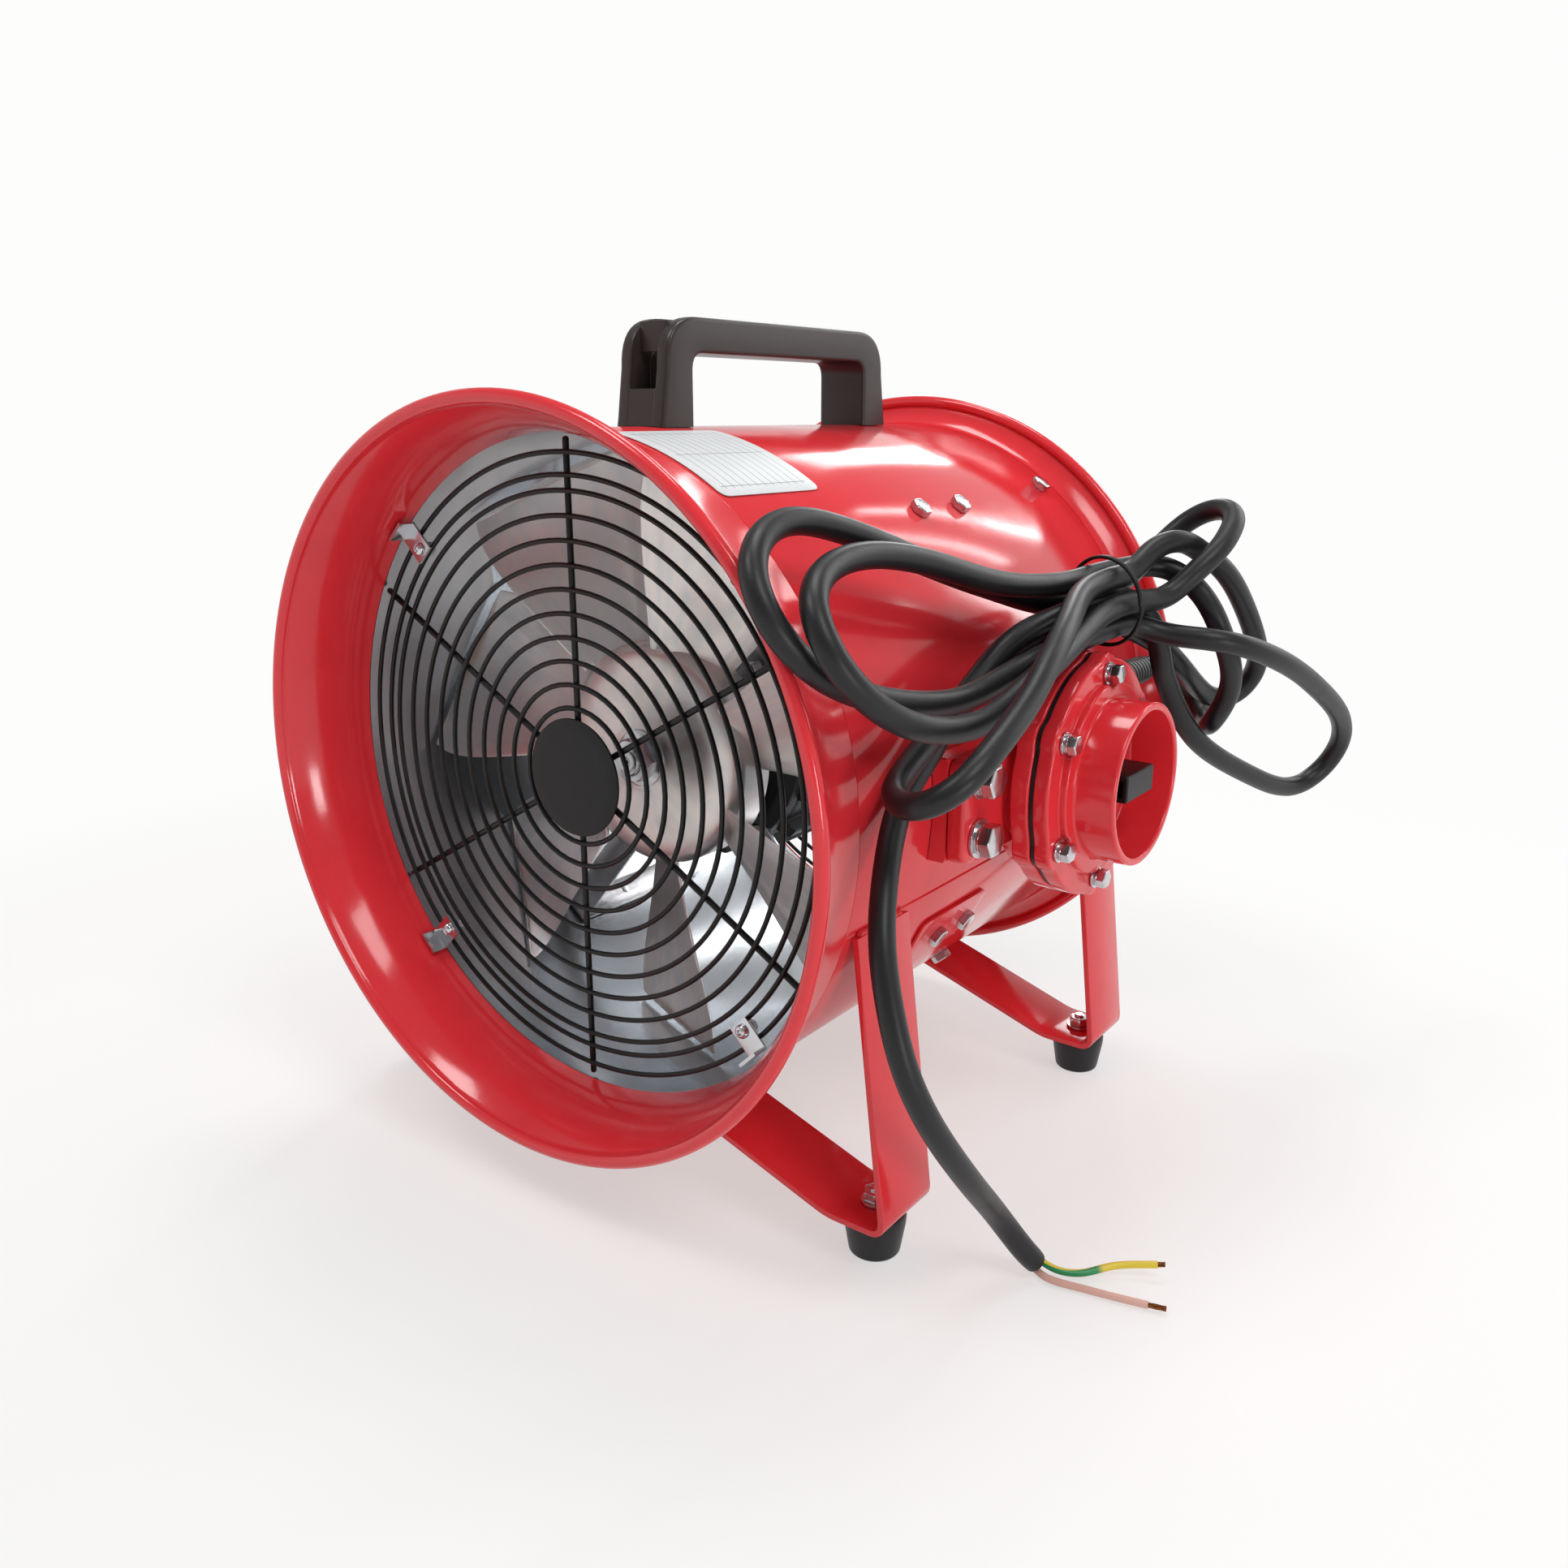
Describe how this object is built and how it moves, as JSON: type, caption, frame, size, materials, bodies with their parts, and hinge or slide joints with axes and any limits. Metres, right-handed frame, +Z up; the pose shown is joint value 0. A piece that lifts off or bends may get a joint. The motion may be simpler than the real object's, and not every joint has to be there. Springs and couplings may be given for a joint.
{
  "type": "portable ventilation blower",
  "caption": "Portable axial blower: flared barrel with wire grilles, bladed fan on a motor, turn switch in a round box, carry handle, strap stands with rubber feet, gathered power cord.",
  "frame": {"origin": "bottom centre of the box round everything but the free cord, on the plane the feet stand on", "axes": "+Y along the fan axis from the inlet bell to the outlet, +X towards the switch box, +Z up"},
  "size_m": [0.4395, 0.4031, 0.3993],
  "materials": {
    "red_enamel": "glossy enamel",
    "black_wire": "satin powder coat",
    "black_plastic": "fine grained",
    "cast_aluminium": "as cast, satin",
    "zinc_steel": "zinc plated",
    "motor_casting": "dark paint on a casting",
    "winding_copper": "varnished copper wire",
    "black_rubber": "dull",
    "label_stock": "bare printed-label stock",
    "green_yellow_insulation": "core insulation",
    "pink_insulation": "core insulation"
  },
  "bodies": {
    "blower": {"inlet_bell": "red_enamel", "barrel_shell": "red_enamel", "outlet_rim": "red_enamel", "lap_plate": "red_enamel", "switch_box_saddle": "red_enamel", "switch_box_body": "red_enamel", "switch_box_cover": "red_enamel", "front_stand": "red_enamel", "rear_stand": "red_enamel", "inlet_grille": "black_wire", "outlet_grille": "black_wire", "grille_badge": "black_plastic", "carry_handle": "black_plastic", "switch_mechanism": "black_plastic", "cable_gland_nut": "black_plastic", "cord_tie": "black_plastic", "stator_core": "zinc_steel", "front_bearing": "zinc_steel", "rear_bearing": "zinc_steel", "handle_screw_1": "zinc_steel", "handle_screw_2": "zinc_steel", "inlet_grille_clip_1": "zinc_steel", "inlet_grille_clip_2": "zinc_steel", "inlet_grille_clip_3": "zinc_steel", "inlet_grille_clip_4": "zinc_steel", "motor_bracket_1": "zinc_steel", "motor_bracket_2": "zinc_steel", "motor_bracket_3": "zinc_steel", "motor_bracket_4": "zinc_steel", "cover_bolt_1": "zinc_steel", "cover_bolt_2": "zinc_steel", "cover_bolt_3": "zinc_steel", "cover_bolt_4": "zinc_steel", "cover_bolt_5": "zinc_steel", "cover_bolt_6": "zinc_steel", "saddle_bolt_1": "zinc_steel", "saddle_bolt_2": "zinc_steel", "saddle_bolt_3": "zinc_steel", "saddle_bolt_4": "zinc_steel", "motor_housing": "motor_casting", "motor_front_cap": "motor_casting", "motor_rear_cap": "motor_casting", "stator_winding_front": "winding_copper", "stator_winding_rear": "winding_copper", "switch_box_gasket": "black_rubber", "cord_sleeve": "black_rubber", "power_cord": "black_rubber", "foot_front_right": "black_rubber", "foot_front_left": "black_rubber", "foot_rear_right": "black_rubber", "foot_rear_left": "black_rubber", "rating_label": "label_stock", "core_green_yellow": "green_yellow_insulation", "core_pink": "pink_insulation"},
    "fan_rotor": {"fan_wheel": "cast_aluminium", "shaft_nut": "zinc_steel", "motor_shaft": "zinc_steel", "rotor_core": "zinc_steel"},
    "switch_lever": {"switch_knob": "black_plastic", "switch_spindle": "zinc_steel"}
  },
  "joints": [
    {"name": "fan_spin", "type": "hinge", "parent": "blower", "child": "fan_rotor", "pos_m": [-0.02185, -0.06565, 0.1983], "axis": [0, 1, 0], "continuous": true},
    {"name": "switch_turn", "type": "hinge", "parent": "blower", "child": "switch_lever", "pos_m": [0.16915, 0.01935, 0.1983], "axis": [1, 0, 0], "range_deg": [0, 90]}
  ]
}
